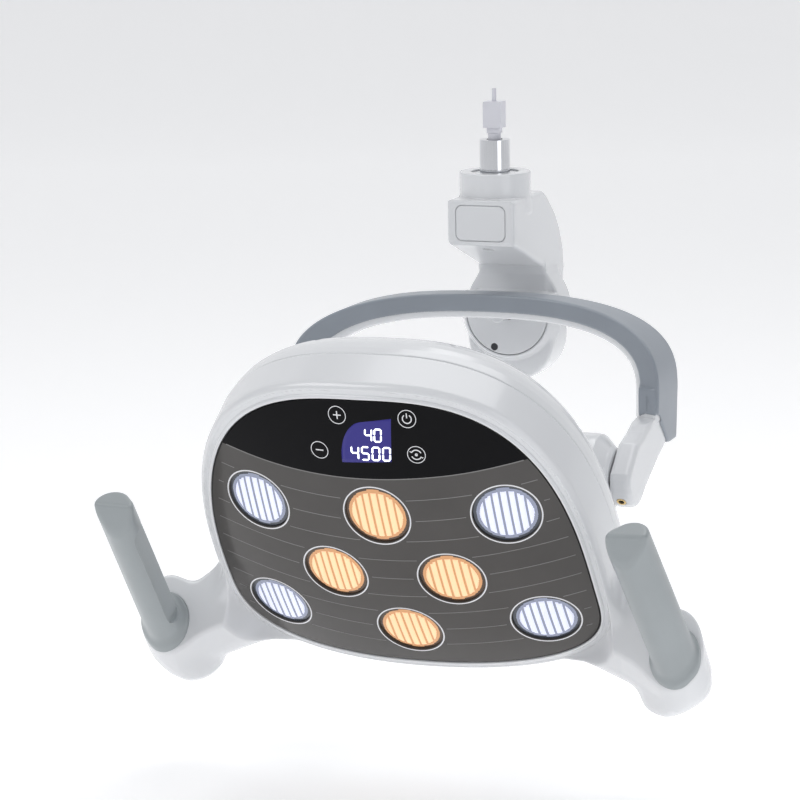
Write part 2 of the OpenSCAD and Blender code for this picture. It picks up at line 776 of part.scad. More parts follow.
module handle_cores() {
    color(steel) both_sides() in_handle() difference() {
        rod_z(foot_shift[0], foot_shift[1], 0.05, 129.5, 6);
        rod_z(foot_shift[0], foot_shift[1], -1, 14, 2);
    }
}
module handle_screws() {
    color("dimgray") both_sides() in_handle() {
        rod_z(foot_shift[0], foot_shift[1], -14, -11, 4.2);
        rod_z(foot_shift[0], foot_shift[1], -11.1, 12, 1.95);
    }
}
module head_cable() {
    color("dimgray") lead([[-86, 130, -20], [-80, 130, -20], [-72, 128, -18], [-66, 122, -10],
        [-62, 112, 0], [-60, 100, 10], [-58, 90, 14], [-50, 84.5, 16], [-44, 84.4, 18]], 2.4);
}

mounting_shaft();
shaft_circlip();
thrust_washer();
supply_connector();
connector_sleeve();
shaft_cable();
stop_key();
bracket_housing();
front_plate();
upper_bush();
lower_bush();
bush_screw();
hub_cover();
hub_cover_screw();
hub_bush();
rear_cap();
rear_cap_screws();
stop_pin();
bracket_cable();
yoke_frame();
yoke_overlay();
roll_spigot();
roll_spring_washer();
roll_nut();
tilt_pins();
tilt_clamp_screws();
clamp_inserts();
yoke_cable();
in_head() front_shell();
in_head() rear_shell();
in_head() lens_panel();
in_head() panel_gasket();
in_head() lamp_frame();
in_head() lamp_reflectors();
in_head() cool_lenses();
in_head() warm_lenses();
in_head() cool_led_boards();
in_head() warm_led_boards();
in_head() heat_sink();
in_head() heat_sink_screws();
in_head() control_board();
in_head() display_module();
in_head() touch_springs();
in_head() sensor_module();
in_head() driver_board();
in_head() driver_spacers();
in_head() tilt_bushes();
in_head() tilt_frame();
in_head() tilt_frame_screws();
in_head() shell_screws();
in_head() handle_left();
in_head() handle_right();
in_head() handle_cores();
in_head() handle_screws();
in_head() head_cable();
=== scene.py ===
"""Dental operating light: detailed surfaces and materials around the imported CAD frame.

Shapes are written in millimetres. The head's pieces are written in the head's own frame, with
the origin at the centre of the lens panel, x right, y back and z up along its face.
"""
import json
import math
import bpy
import numpy as np
from mathutils import Matrix, Vector
from mathutils.geometry import delaunay_2d_cdt


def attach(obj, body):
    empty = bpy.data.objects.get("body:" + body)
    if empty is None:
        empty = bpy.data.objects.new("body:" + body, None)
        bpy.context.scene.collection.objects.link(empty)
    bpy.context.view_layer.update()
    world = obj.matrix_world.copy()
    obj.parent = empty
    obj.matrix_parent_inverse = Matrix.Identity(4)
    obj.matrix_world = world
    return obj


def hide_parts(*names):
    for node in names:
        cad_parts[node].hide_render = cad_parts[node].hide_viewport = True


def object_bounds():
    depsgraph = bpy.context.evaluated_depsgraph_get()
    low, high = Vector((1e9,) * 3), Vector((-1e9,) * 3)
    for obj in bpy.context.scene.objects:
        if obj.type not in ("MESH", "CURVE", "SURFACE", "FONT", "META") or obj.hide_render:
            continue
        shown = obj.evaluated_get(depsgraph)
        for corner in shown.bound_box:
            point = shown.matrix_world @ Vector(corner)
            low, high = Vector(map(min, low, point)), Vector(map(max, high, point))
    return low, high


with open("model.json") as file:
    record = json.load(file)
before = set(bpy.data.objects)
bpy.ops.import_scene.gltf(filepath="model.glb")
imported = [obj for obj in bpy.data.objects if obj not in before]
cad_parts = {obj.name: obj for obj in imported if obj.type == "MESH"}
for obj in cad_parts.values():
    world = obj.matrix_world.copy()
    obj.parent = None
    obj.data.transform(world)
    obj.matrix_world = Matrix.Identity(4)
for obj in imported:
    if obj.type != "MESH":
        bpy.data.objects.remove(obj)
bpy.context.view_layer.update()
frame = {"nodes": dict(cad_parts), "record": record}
MM = 0.001

# ---- sizes shared with the CAD frame ----
TILT_Y, TILT_Z, TILT_REST = -98.5, -202.0, 33.0
PANEL_FWD, PANEL_UP = 130.0, 20.0
PANEL_HW, PANEL_TOP, PANEL_DROP, PANEL_R = 135.5, 168.8, 65.7, 450.0
HEAD_ZC, RIM, WALL, SEAM_Y, GLASS_T = -25.0, 10.0, 3.0, 60.0, 3.0
JOINT_X, JOINT_R, END_T = 123.3, 20.0, 15.5
YOKE_HW, YOKE_RISE, YOKE_MID, YOKE_N = 141.5, 62.0, -150.0, 2.78
HUB_Z, HUB_R, CHIN_R, CHIN_DROP = -107.0, 37.0, 33.5, 19.0
ROLL_Z, DRUM_TOP, ROLL_R = -104.0, -93.0, 10.0
HANDLE_FOOT = np.array([192.5, 7.1, -93.0])
HANDLE_LEAN, HANDLE_TOE, GRIP_LEN = math.radians(7.95), math.radians(2.46), 167.0
FOOT_SHIFT, FOOT_R, GRIP_R, OVAL = (-1.8, 2.6), 16.9, 12.75, 3.05
LAMPS = [(-90.7, 55.1, "cool"), (0, 55.6, "warm"), (90.7, 55.1, "cool"), (-42.8, 0, "warm"),
         (42.8, 0, "warm"), (-98.9, -45.2, "cool"), (0, -54.6, "warm"), (98.9, -45.2, "cool")]
LAMP_R = 22.9
HEAD = (Matrix.Translation((0, TILT_Y, TILT_Z)) @ Matrix.Rotation(math.radians(TILT_REST), 4, "X")
        @ Matrix.Translation((0, -PANEL_FWD, PANEL_UP)))
ROW = Matrix.Identity(4)


# ---- materials ----
def shade(name, color, rough, metal=0.0, coat=0.0, grain=0.0, grain_scale=900, vary=0.03, smudge=0.06,
          wear=0.0, emission=None, strength=0.0, specular=0.5):
    """Procedural material: colour mottling, roughness smudges, fine grain in the bump and worn edges."""
    mat = bpy.data.materials.new(name)
    mat.use_nodes = True
    nodes, links = mat.node_tree.nodes, mat.node_tree.links
    bsdf = nodes["Principled BSDF"]
    bsdf.inputs["Metallic"].default_value = metal
    bsdf.inputs["Coat Weight"].default_value = coat
    bsdf.inputs["Coat Roughness"].default_value = 0.08
    bsdf.inputs["Specular IOR Level"].default_value = specular
    coords = nodes.new("ShaderNodeTexCoord")

    def noise(scale, detail):
        n = nodes.new("ShaderNodeTexNoise")
        n.inputs["Scale"].default_value = scale
        n.inputs["Detail"].default_value = detail
        links.new(coords.outputs["Object"], n.inputs["Vector"])
        return n.outputs["Fac"]

    def ramp(source, low, high):
        r = nodes.new("ShaderNodeValToRGB")
        r.color_ramp.elements[0].position, r.color_ramp.elements[1].position = 0.35, 0.65
        r.color_ramp.elements[0].color, r.color_ramp.elements[1].color = low, high
        links.new(source, r.inputs["Fac"])
        return r.outputs["Color"]

    darker = tuple(c * (1 - vary) for c in color) + (1,)
    lighter = tuple(min(1, c * (1 + vary)) for c in color) + (1,)
    tint = ramp(noise(22, 3), darker, lighter)
    if wear > 0:
        edge = nodes.new("ShaderNodeNewGeometry").outputs["Pointiness"]
        mask = nodes.new("ShaderNodeMapRange")
        mask.inputs["From Min"].default_value = 0.53
        mask.inputs["From Max"].default_value = 0.62
        mask.inputs["To Max"].default_value = wear
        links.new(edge, mask.inputs["Value"])
        mix = nodes.new("ShaderNodeMix")
        mix.data_type = "RGBA"
        mix.inputs["B"].default_value = tuple(min(1, c * 1.35 + 0.02) for c in color) + (1,)
        links.new(mask.outputs["Result"], mix.inputs["Factor"])
        links.new(tint, mix.inputs["A"])
        tint = mix.outputs["Result"]
    links.new(tint, bsdf.inputs["Base Color"])
    smear = nodes.new("ShaderNodeMapRange")
    smear.inputs["To Min"].default_value = max(0.02, rough - smudge)
    smear.inputs["To Max"].default_value = rough + smudge
    links.new(noise(60, 5), smear.inputs["Value"])
    links.new(smear.outputs["Result"], bsdf.inputs["Roughness"])
    if grain > 0:
        bump = nodes.new("ShaderNodeBump")
        bump.inputs["Strength"].default_value = grain
        bump.inputs["Distance"].default_value = 0.0002
        links.new(noise(grain_scale, 4), bump.inputs["Height"])
        links.new(bump.outputs["Normal"], bsdf.inputs["Normal"])
    if emission:
        bsdf.inputs["Emission Color"].default_value = (*emission, 1)
        bsdf.inputs["Emission Strength"].default_value = strength
    return mat


M = {
    "white_shell": shade("white_shell", (0.79, 0.80, 0.815), 0.24, coat=0.45, vary=0.004, smudge=0.02),
    "soft_grey": shade("soft_grey", (0.30, 0.33, 0.37), 0.36, coat=0.15, grain=0.05, grain_scale=2600),
    "grip_grey": shade("grip_grey", (0.345, 0.375, 0.385), 0.38, coat=0.15, grain=0.06, grain_scale=2400, wear=0.25),
    "panel_smoke": shade("panel_smoke", (0.082, 0.077, 0.073), 0.14, specular=0.35, vary=0.05, smudge=0.04),
    "gasket": shade("gasket", (0.010, 0.010, 0.011), 0.30, vary=0.1),
    "black_plastic": shade("black_plastic", (0.02, 0.02, 0.021), 0.55, grain=0.3),
    "chrome_steel": shade("chrome_steel", (0.70, 0.71, 0.73), 0.09, metal=1, grain=0.05, smudge=0.04, wear=0.3),
    "steel": shade("steel", (0.52, 0.53, 0.55), 0.30, metal=1, grain=0.25, smudge=0.1, wear=0.3),
    "bronze": shade("bronze", (0.50, 0.34, 0.17), 0.42, metal=1, grain=0.35, vary=0.1),
    "brass": shade("brass", (0.72, 0.53, 0.25), 0.24, metal=1, grain=0.15, wear=0.3),
    "black_screws": shade("black_screws", (0.06, 0.06, 0.065), 0.35, metal=1, grain=0.3, wear=0.5),
    "connector_white": shade("connector_white", (0.74, 0.74, 0.79), 0.42, grain=0.2, vary=0.02),
    "cable": shade("cable", (0.03, 0.03, 0.032), 0.6, grain=0.4),
    "reflector": shade("reflector", (0.80, 0.81, 0.85), 0.10, metal=1, grain=0.05),
    "cool_lens": shade("cool_lens", (0.24, 0.26, 0.34), 0.2, coat=0.3, emission=(0.50, 0.56, 0.80), strength=0.20),
    "warm_lens": shade("warm_lens", (0.40, 0.20, 0.09), 0.2, coat=0.3, emission=(1.0, 0.50, 0.22), strength=0.42),
    "cool_led": shade("cool_led", (0.70, 0.72, 0.85), 0.3, emission=(0.80, 0.84, 1.0), strength=0.42),
    "warm_led": shade("warm_led", (0.90, 0.60, 0.34), 0.3, emission=(1.0, 0.72, 0.44), strength=0.42),
    "cool_rim": shade("cool_rim", (0.07, 0.08, 0.10), 0.25, coat=0.4, vary=0.2),
    "warm_rim": shade("warm_rim", (0.10, 0.06, 0.035), 0.25, coat=0.4, vary=0.2),
    "aluminium": shade("aluminium", (0.60, 0.61, 0.63), 0.45, metal=1, grain=0.5, grain_scale=3000),
    "circuit": shade("circuit", (0.02, 0.13, 0.06), 0.35, grain=0.2, vary=0.15),
    "display": shade("display", (0.010, 0.009, 0.06), 0.2, specular=0.25, emission=(0.07, 0.06, 0.42), strength=0.4),
    "printed": shade("printed", (0.72, 0.72, 0.74), 0.3, emission=(0.9, 0.9, 0.92), strength=0.12),
    "printed_dim": shade("printed_dim", (0.23, 0.225, 0.22), 0.25),
    "gloss_black": shade("gloss_black", (0.0015, 0.0015, 0.0025), 0.07, specular=0.12, vary=0.1, smudge=0.02),
    "digits": shade("digits", (0.9, 0.93, 1.0), 0.3, emission=(0.85, 0.9, 1.0), strength=1.6),
}
SLOTS = {s["node"]: s["material_slot"] for s in frame["record"]["subparts"]}
for node_name, obj in frame["nodes"].items():
    obj.data.materials.clear()
    obj.data.materials.append(M[SLOTS[node_name]])


# ---- mesh tools ----
def piece(name, verts, faces, mat, body, place=ROW, normals=None, slot=None, stands_for=(), smooth=True,
          mats=(), face_mats=None):
    """Mesh object from points in mm, placed in the row frame, riding on a body."""
    mesh = bpy.data.meshes.new(name)
    points = np.asarray(verts, float) @ np.array(place.to_3x3()).T + np.array(place.translation)
    points *= MM
    mesh.from_pydata(points.tolist(), [], [list(map(int, f)) for f in faces])
    mesh.materials.append(M[mat])
    for extra in mats:
        mesh.materials.append(M[extra])
    if face_mats is not None:
        mesh.polygons.foreach_set("material_index", np.asarray(face_mats, np.int32))
    mesh.polygons.foreach_set("use_smooth", [smooth] * len(mesh.polygons))
    mesh.update()
    if normals is not None:
        turned = np.asarray(normals, float) @ np.array(place.to_3x3()).T
        mesh.normals_split_custom_set_from_vertices(turned.tolist())
    obj = bpy.data.objects.new(name, mesh)
    bpy.context.scene.collection.objects.link(obj)
    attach(obj, body)
    if stands_for:
        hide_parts(*stands_for)
    return obj


def smin(a, b, k):
    h = np.maximum(k - np.abs(a - b), 0) / k
    return np.minimum(a, b) - h * h * k / 4


def smax(a, b, k):
    return -smin(-a, -b, k)


def grow(x, z, a, top, drop, zc, n_top, n_drop):
    """How far outside a rounded outline a point is, in the outline's own offset."""
    ax, dz = np.abs(x) + 1e-6, z - zc
    up = dz > 0
    n = np.where(up, n_top, n_drop)
    b = np.where(up, top, drop)
    adz = np.abs(dz) + 1e-6
    g = np.zeros(np.broadcast(ax, adz).shape)
    for _ in range(7):
        pa, pb = np.maximum(a + g, 4), np.maximum(b + g, 4)
        u, w = (ax / pa) ** n, (adz / pb) ** n
        h = (u + w) ** (1 / n)
        slope = (u + w) ** (1 / n - 1) * (u / pa + w / pb)
        g = np.clip(g + (h - 1) / slope * 0.9, 4 - np.minimum(a, b), 400)
    return g


def head_g(x, z):
    return grow(x, z, PANEL_HW, PANEL_TOP, PANEL_DROP, HEAD_ZC, 2.7, 3.5)


def sag(x, z):
    return PANEL_R - np.sqrt(np.maximum(PANEL_R ** 2 - x * x - z * z, 1))


def poly_field(points, u, v):
    """Signed distance to a closed outline in a plane, negative inside."""
    u, v = np.broadcast_arrays(u, v)
    best = np.full(u.shape, 1e18)
    inside = np.zeros(u.shape, bool)
    for (ax, ay), (bx, by) in zip(points, points[1:] + points[:1]):
        ex, ey = bx - ax, by - ay
        t = np.clip(((u - ax) * ex + (v - ay) * ey) / (ex * ex + ey * ey), 0, 1)
        best = np.minimum(best, (u - ax - t * ex) ** 2 + (v - ay - t * ey) ** 2)
        if ay != by:
            inside ^= ((ay > v) != (by > v)) & (u < ex * (v - ay) / ey + ax)
    return np.sqrt(best) * np.where(inside, -1, 1)


def surface(field, low, high, step):
    """Quads on the zero level of field(x, y, z), with each point pulled on to it, and the field's normals."""
    axes = [np.arange(low[i], high[i] + step, step) for i in range(3)]
    grid = np.meshgrid(*axes, indexing="ij", sparse=True)
    shape = tuple(len(a) for a in axes)
    value = np.ascontiguousarray(np.broadcast_to(field(*grid), shape), dtype=np.float32)
    cells = np.array(shape) - 1
    strides = np.array([cells[1] * cells[2], cells[2], 1])
    keys, spots, quads = [], [], []
    for a in range(3):
        take = [slice(None)] * 3
        take[a] = slice(0, -1)
        first = value[tuple(take)]
        take[a] = slice(1, None)
        second = value[tuple(take)]
        cross = (first < 0) != (second < 0)
        at = np.argwhere(cross)
        f0, f1 = first[cross], second[cross]
        spot = at.astype(float)
        spot[:, a] += f0 / (f0 - f1)
        b, c = (a + 1) % 3, (a + 2) % 3
        ok = (at[:, b] > 0) & (at[:, c] > 0) & (at[:, b] < cells[b]) & (at[:, c] < cells[c])
        at, spot, flip = at[ok], spot[ok], (f0 < 0)[ok]
        ring = []
        for db, dc in ((-1, -1), (0, -1), (0, 0), (-1, 0)):
            cell = at.copy()
            cell[:, b] += db
            cell[:, c] += dc
            ring.append(cell @ strides)
            keys.append(ring[-1])
            spots.append(spot)
        quad = np.stack(ring, 1)
        quad[~flip] = quad[~flip][:, ::-1]
        quads.append(quad)
    keys, spots, quads = np.concatenate(keys), np.concatenate(spots), np.concatenate(quads)
    cell_ids, index = np.unique(keys, return_inverse=True)
    count = np.bincount(index)
    points = np.stack([np.bincount(index, spots[:, i]) / count for i in range(3)], 1) * step + np.array(low)
    faces = np.searchsorted(cell_ids, quads)

    def slope(p, h):
        rows = [field(*(p + d).T) - field(*(p - d).T) for d in np.eye(3) * h]
        return np.stack(rows, 1) / (2 * h)

    for _ in range(3):
        g = slope(points, 0.05)
        move = -(field(*points.T) / np.maximum((g * g).sum(1), 0.2))[:, None] * g
        points += np.clip(move, -0.5 * step, 0.5 * step)
    g = slope(points, 0.25)
    g /= np.maximum(np.linalg.norm(g, axis=1), 1e-9)[:, None]
    return points, faces, g


FINE = 1.0


def sculpt(name, field, low, high, mat, body, place=ROW, step=1.0, **more):
    points, faces, normals = surface(field, low, high, step * FINE)
    return piece(name, points, faces, mat, body, place, normals, **more)


# ---- bracket ----
BOX_HW, BOX_FRONT, COLLAR_R = 25.6, -33.0, 25.9
SIDE = [(-33, -18), (34, -18), (44, -24), (60, -37), (70, -50), (77, -66), (79, -80), (76, -92),
        (64, -104), (36, -104), (36, -80), (32, -73.5), (-30, -51), (-33, -48)]


def egg_field(x, z):
    """Distance outside the hub's egg-shaped outline."""
    ax = np.abs(x)
    lean = (HUB_R - CHIN_R) / CHIN_DROP
    along = np.clip((HUB_Z - z + ax * lean) / CHIN_DROP, 0, 1)
    centre = HUB_Z - along * CHIN_DROP
    return np.hypot(ax, z - centre) - (HUB_R + (CHIN_R - HUB_R) * along)


def bracket_field(x, y, z):
    box = smax(poly_field(SIDE, y, z), np.abs(x) - BOX_HW, 3.5)
    collar = smax(np.hypot(x, y) - COLLAR_R, np.maximum(z, -30 - z), 1.2)
    drum = egg_field(x, z)
    drum = smax(drum, y - 64, 7)
    drum = smax(drum, 27 - y, 5)
    cone = smax(np.hypot(x, z - HUB_Z) - 33.4 - (y - 21) * 0.5, np.maximum(21 - y, y - 34), 1.2)
    hub = smin(drum, cone, 1.5)
    hub = smax(hub, np.minimum(z - DRUM_TOP, 36 - y), 2)
    body = smin(smin(box, collar, 1.5), hub, 5)
    collar_bore = np.maximum(np.hypot(x, y) - 17.2, -4.5 - z)
    shaft_bore = np.maximum(np.hypot(x, y) - 13.9 + 0 * z, -49.0 - z)
    cover_seat = np.maximum(np.hypot(x, z - HUB_Z) - 31.9, y - 24.2)
    rear_bore = np.maximum(np.hypot(x, z - HUB_Z) - 30, 45 - y)
    plate_seat = np.maximum(poly_field(PLATE, x, z), y - (BOX_FRONT + 1.2))
    screw_bore = np.maximum(np.hypot(x, y + 17.2) - 4, np.maximum(z + 45, -70 - z))
    cavity = smax(poly_field(CAVITY, y, z), np.abs(x) - BOX_HW + WALL, 3)
    boss = np.maximum(np.hypot(x, y) - 21, np.maximum(-40 - z, z + 20))
    cavity = np.maximum(cavity, -boss)
    roll_bore = np.maximum(np.hypot(x, z - ROLL_Z) - ROLL_R, np.maximum(20 - y, y - 50))
    for cut in (collar_bore, shaft_bore, cover_seat, rear_bore, plate_seat, screw_bore, cavity, roll_bore):
        body = smax(body, -cut, 0.5)
    return body



def rounded_rect(w, h, r, zc, n=8):
    pts = []
    for cx, cz, start in ((w / 2 - r, h / 2 - r, 0), (-w / 2 + r, h / 2 - r, 90),
                          (-w / 2 + r, -h / 2 + r, 180), (w / 2 - r, -h / 2 + r, 270)):
        for i in range(n + 1):
            a = math.radians(start + 90 * i / n)
            pts.append((cx + r * math.cos(a), zc + cz + r * math.sin(a)))
    return pts


PLATE = rounded_rect(38, 26, 5, -34.5)
CAVITY = [(-20, -24), (32, -24), (40, -29), (55, -40), (66, -55), (69, -66), (66, -73), (40, -73), (-20, -50)]
sculpt("bracket_body", bracket_field, (-40, -36, -163), (40, 83, 2), "white_shell", "bracket", step=0.75,
       stands_for=["bracket_housing"])


def plate_field(x, y, z):
    edge = poly_field(rounded_rect(37.2, 25.2, 4.6, -34.5), x, z)
    return smax(edge, np.maximum(y + 31.85, BOX_FRONT + 0.05 - y), 0.7)


sculpt("bracket_plate", plate_field, (-20, -34.5, -49), (20, -30.5, -20), "white_shell", "bracket", step=0.5,
       stands_for=["front_plate"])


def cover_field(x, y, z):
    disc = smax(np.hypot(x, z - HUB_Z) - 31.55, np.maximum(21 - y, y - 24.1), 1.4)
    hole = np.maximum(np.hypot(x + 10, z - HUB_Z + 26) - 2.7, y - 22.4)
    disc = smax(disc, z - DRUM_TOP, 1)
    return smax(smax(disc, -hole, 0.4), -(np.hypot(x, z - ROLL_Z) - 8.6), 0.5)


sculpt("hub_disc", cover_field, (-34, 19.5, -141), (34, 25.5, -73), "white_shell", "bracket", step=0.6,
       stands_for=["hub_cover"])

# ---- yoke ----
ARM_IN_HW, ARCH_IN_RISE, LIP = YOKE_HW - 22, YOKE_RISE - 18, 5.0
LEG = [(-56, -146), (-13, -146), (-14, -165), (-19, -178), (-27, -187), (-50, -197), (-78, -212)]
LEG += [(TILT_Y + JOINT_R * math.cos(math.radians(a)), TILT_Z + JOINT_R * math.sin(math.radians(a)))
        for a in range(-50, -215, -15)]
LEG += [(-97, -177), (-80, -172), (-66, -166), (-58, -158)]


def arch_g(x, z, hw, rise, taper):
    above = grow(x, np.maximum(z, YOKE_MID), hw, rise, rise, YOKE_MID, YOKE_N, YOKE_N)
    below = np.abs(x) - (hw - taper * np.maximum(YOKE_MID - z, 0))
    return np.where(z > YOKE_MID, above, below)


def arch_field(x, y, z, shrink, inner_more, k):
    """Bowed arch: between two rounded outlines seen from the front, and two arcs seen from above."""
    out = arch_g(x, z, YOKE_HW - shrink, YOKE_RISE - shrink, 0.035)
    inn = -arch_g(x, z, ARM_IN_HW + inner_more, ARCH_IN_RISE + inner_more, 0.02)
    front = (278 + shrink) - np.hypot(x, y + 298)
    back = np.hypot(x, y + 900) - 900
    return smax(smax(out, inn, k), smax(front - 0 * z, back - 0 * z, k), k)


def leg_front(x, y, z, shrink):
    """Keeps the leg behind the arch's front face, down to where the leg turns forward."""
    arch_front = np.sqrt((278 - shrink) ** 2 - np.minimum(x * x, 160 ** 2)) - 298
    return arch_front - y - 8 * np.maximum(-166 - z, 0)


def yoke_full(x, y, z, shrink):
    arch = np.maximum(arch_field(x, y, z, shrink, 0, 5), YOKE_MID - 18 - z)
    leg = smax(poly_field(LEG, y, z), np.maximum(np.abs(x) - (JOINT_X + END_T), JOINT_X - np.abs(x)), 5)
    return smin(arch, smax(leg, leg_front(x, y, z, shrink), 2), 3)


def yoke_field(x, y, z):
    body = yoke_full(x, y, z, 1.5)
    body = smin(body, np.maximum(np.hypot(x, z - ROLL_Z) - 7.4, np.maximum(-2 - y, y - 14)), 1)
    pin = np.maximum(np.hypot(y - TILT_Y, z - TILT_Z) - 8, np.abs(x) - JOINT_X - 12)
    dy, dz = y - TILT_Y, z - TILT_Z
    c = math.sqrt(0.5)
    depth = -(dy + dz) * c
    side = (dy - dz) * c
    screw = np.maximum(np.hypot(np.abs(x) - JOINT_X - END_T / 2, side) - 3.32, 6 - depth)
    return smax(smax(body, -pin, 0.4), -screw, 0.4)


OVERLAY_END = [(-140, -60), (40, -60), (40, -186), (-25, -188.5), (-32, -187.5), (-54.5, -164.5), (-140, -164.5)]


def overlay_field(x, y, z):
    outer = arch_field(x, y, z, 0, LIP, 2.4)
    core = yoke_full(x, y, z, 1.5)
    # below the arch it is a skin on the leg's outer side and on the outer part of its front
    edge = np.where(y < -45, ARM_IN_HW + LIP, JOINT_X + END_T - 4)
    outer = np.where(z < YOKE_MID + 14, np.minimum(outer, np.maximum(core - 0.9, edge - np.abs(x))), outer)
    mask = poly_field(OVERLAY_END, y, z) + 0 * x
    # the overlay is open at the back of the arch, where the white casting shows
    back = np.hypot(x, y + 900) - 898.8
    return smax(smax(smax(outer, mask, 3), -(core - 0.05), 0.3), back, 0.3)


sculpt("yoke_casting", yoke_field, (-146, -124, -227), (146, 18, -84), "white_shell", "yoke", step=1.0,
       stands_for=["yoke_frame"])
sculpt("yoke_skin", overlay_field, (-146, -72, -192), (146, 6, -84), "soft_grey", "yoke", step=0.62,
       stands_for=["yoke_overlay"])

# ---- head shells ----
SEAM_ANGLES = (28, 75, 105, 152, 207, 333)


def on_outline(g, angle):
    a = math.radians(angle)
    n, b = (2.7, PANEL_TOP) if angle < 180 else (3.5, PANEL_DROP)
    c, s = math.cos(a), math.sin(a)
    return (math.copysign(abs(c) ** (2 / n), c) * (PANEL_HW + g),
            HEAD_ZC + math.copysign(abs(s) ** (2 / n), s) * (b + g))


def handle_line(x, y, z):
    """Height along the handle's axis, and offsets forward and outward from it."""
    ax = np.abs(x) - HANDLE_FOOT[0]
    dy, dz = y - HANDLE_FOOT[1], z - HANDLE_FOOT[2]
    cl, sl = math.cos(HANDLE_LEAN), math.sin(HANDLE_LEAN)
    ct, st = math.cos(HANDLE_TOE), math.sin(HANDLE_TOE)
    # undo the inward lean about y, then the forward lean about x
    x1, z1 = ax * ct + dz * st, -ax * st + dz * ct
    y2, z2 = dy * cl + z1 * sl, -dy * sl + z1 * cl
    return z2, x1, y2


WING = [(110, -86), (128, -93), (148, -100), (166, -107), (178, -110), (189, -103), (192, -88), (190, -66),
        (184, -55), (168, -40), (150, -22), (138, -8), (110, 6)]
CUP_X, CUP_BACK, CUP_Z, CUP_R = 178.5, 9.3, -97.5, 21.0
RIM_FRONT, RIM_Z, RIM_SLOPE = -6.0, -74.0, math.radians(38.7)


def above_rim(y, z):
    """Distance over the slanted rim of the cups."""
    return (z - RIM_Z) * math.cos(RIM_SLOPE) - (y - RIM_FRONT) * math.sin(RIM_SLOPE)


def front_field(x, y, z):
    g, s, ax = head_g(x, z), sag(x, z), np.abs(x)
    block = smax(g - RIM, s - 0.2 - y, 5)
    mid = np.interp(ax, [118, 150, 182], [31, 23, 10])
    half = np.interp(ax, [118, 150, 182], [20, 19, 18])
    web = smax(poly_field(WING, ax, z), np.abs(y - mid) - half, 16)
    t = np.clip((z + 108) / 20, 0, 1)
    column = np.hypot(ax - CUP_X - 10.3 * t, y - CUP_BACK - 3.4 * t)
    cup = np.hypot(column, np.minimum(z - CUP_Z, 0)) - (CUP_R - 1.5 * t)
    rim = above_rim(y, z)
    up, across, fore = handle_line(x, y, z)
    foot = np.hypot(across - FOOT_SHIFT[0], fore - FOOT_SHIFT[1])
    cup = smin(cup, smax(foot - FOOT_R - 2.2, -113 - z, 24), 6)
    side = smax(smin(web, cup, 12), rim, 2.6)
    # the wings rise ahead of the panel only outside its rim
    outer = smax(smin(block, side, 16), s - 0.2 - y - 3 * np.maximum(g - 6, 0), 3)
    outer = smax(outer, y - (SEAM_Y - 0.2), 1.0)
    inner = np.maximum(g - (RIM - WALL), s + 7 - y)
    pocket = np.maximum(g - 0.9, y - (s + 4))
    hollow = np.minimum(np.minimum(inner, pocket), g + 6 + 0 * y)
    socket = np.maximum(foot - FOOT_R - 0.15, 0 - up)
    return smax(smax(outer, -hollow, 0.8), -socket, 0.8)


sculpt("head_front", front_field, (-212, -36, -122), (212, 62, 158), "white_shell", "head", HEAD, step=1.0,
       stands_for=["front_shell"])


def rear_outer(x, y, z):
    g = head_g(x, z)
    edge = np.interp(y, [58, 62, 68, 74, 80, 86, 92, 97, 102, 107, 112, 118],
                     [9.3, 9.2, 8.6, 7.2, 4.6, 1.0, -4.2, -10, -17.5, -27, -39, -56])
    form = smax((g - edge) * 0.75, y - 116, 10)
    belly = np.maximum(np.abs(x) - 74, 0)
    tube = np.hypot(np.hypot(y - 124, z + PANEL_UP), belly) - 24
    form = smin(form, tube, 34)
    ax = np.abs(x)
    ear_r = np.interp(ax, [0, 108, 112, 120, 122.7], [31, 31, 30.4, 22.5, 21])
    ear = smax(np.hypot(y - PANEL_FWD, z + PANEL_UP) - ear_r, ax - (JOINT_X - 0.6), 2.5)
    return smin(form, np.maximum(ear, 58 - ax), 9)


def rear_field(x, y, z):
    outer = rear_outer(x, y, z)
    ax = np.abs(x)
    shell = np.maximum(outer, -(np.maximum(outer + WALL, ax - 112)))
    shell = smax(shell, SEAM_Y + 0.3 - y, 1.0)
    shell = smax(shell, -(np.hypot(y - PANEL_FWD, z + PANEL_UP) - 11), 0.4)
    for angle in SEAM_ANGLES:
        hx, hz = on_outline(-1, angle)
        shell = smax(shell, -np.maximum(np.hypot(x - hx, z - hz) - 3.4, 66 - y), 0.5)
    return shell


sculpt("head_rear", rear_field, (-150, 58, -104), (150, 165, 156), "white_shell", "head", HEAD, step=1.1,
       stands_for=["rear_shell"])


# ---- lip round the lens panel ----
def around(profile, name, mat, count=288, **more):
    """Sweep of (offset, depth past the panel's face) points round the head's outline."""
    verts, faces = [], []
    for i in range(count):
        angle = (i + 0.5) * 360 / count
        for g, d in profile:
            x, z = on_outline(g, angle)
            verts.append((x, float(sag(np.float64(x), np.float64(z))) + d, z))
    n = len(profile)
    for i in range(count):
        for k in range(n):
            a, b = i * n + k, i * n + (k + 1) % n
            c, d = ((i + 1) % count) * n + (k + 1) % n, ((i + 1) % count) * n + k
            faces.append((a, d, c, b))
    return piece(name, verts, faces, mat, "head", HEAD, **more)


around([(1.0, 3.4), (1.0, -0.5), (1.35, -0.95), (2.0, -1.05), (2.8, -0.75), (3.3, -0.2), (3.6, 0.6), (3.6, 3.4)],
       "panel_lip", "white_shell")
around([(-0.15, 3.2), (-0.15, 0.55), (1.05, 0.55), (1.05, 3.2)], "panel_gap", "gasket")

# ---- lens panel ----
SMILE = [(-160, 106), (-130, 100.5), (-107.2, 96.3), (-75.5, 90.2), (-38.6, 86.4), (-8, 85.6), (23.8, 86.6),
         (65.9, 89.8), (112.3, 97), (135, 101.5), (160, 107)]


